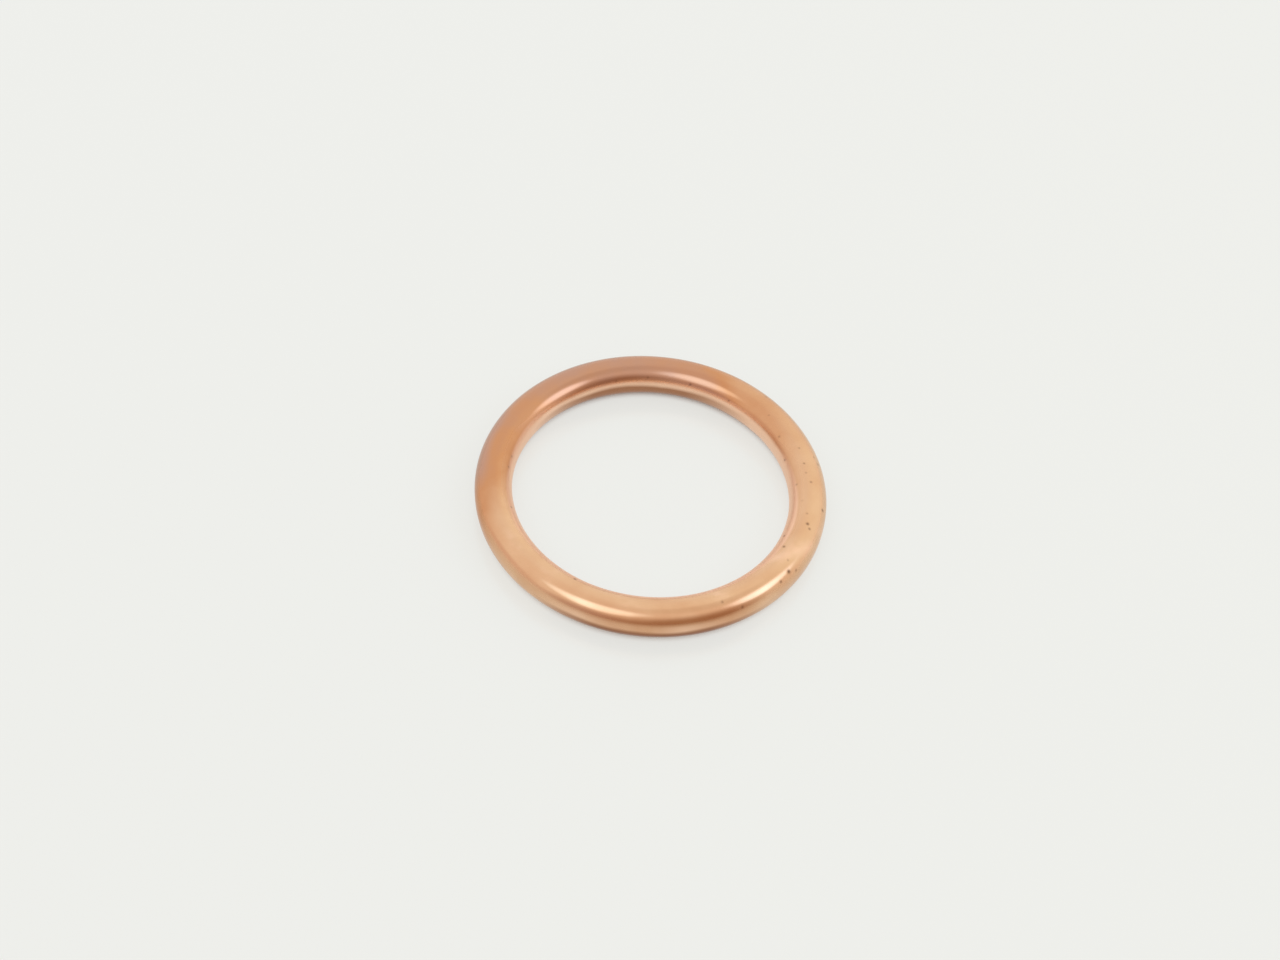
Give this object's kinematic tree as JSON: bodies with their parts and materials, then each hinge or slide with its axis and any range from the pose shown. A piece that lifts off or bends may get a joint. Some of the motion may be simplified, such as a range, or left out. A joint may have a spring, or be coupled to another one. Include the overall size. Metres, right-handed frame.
{
  "type": "copper sealing washer",
  "caption": "Solid copper ring washer with narrow flat sealing faces and fully rounded inner and outer edges, placed under a bolt head or drain plug as a gasket.",
  "frame": {"origin": "on the bore axis, at the bottom face, which rests on the surface", "axes": "+Z along the bore axis, up from the resting face; the ring is the same all round, so X and Y are free"},
  "size_m": [0.028, 0.028, 0.003],
  "materials": {
    "copper": "smooth soft copper with a satin sheen, a light uneven tarnish and a few dark specks"
  },
  "bodies": {
    "root": {"washer": "copper"}
  },
  "joints": []
}
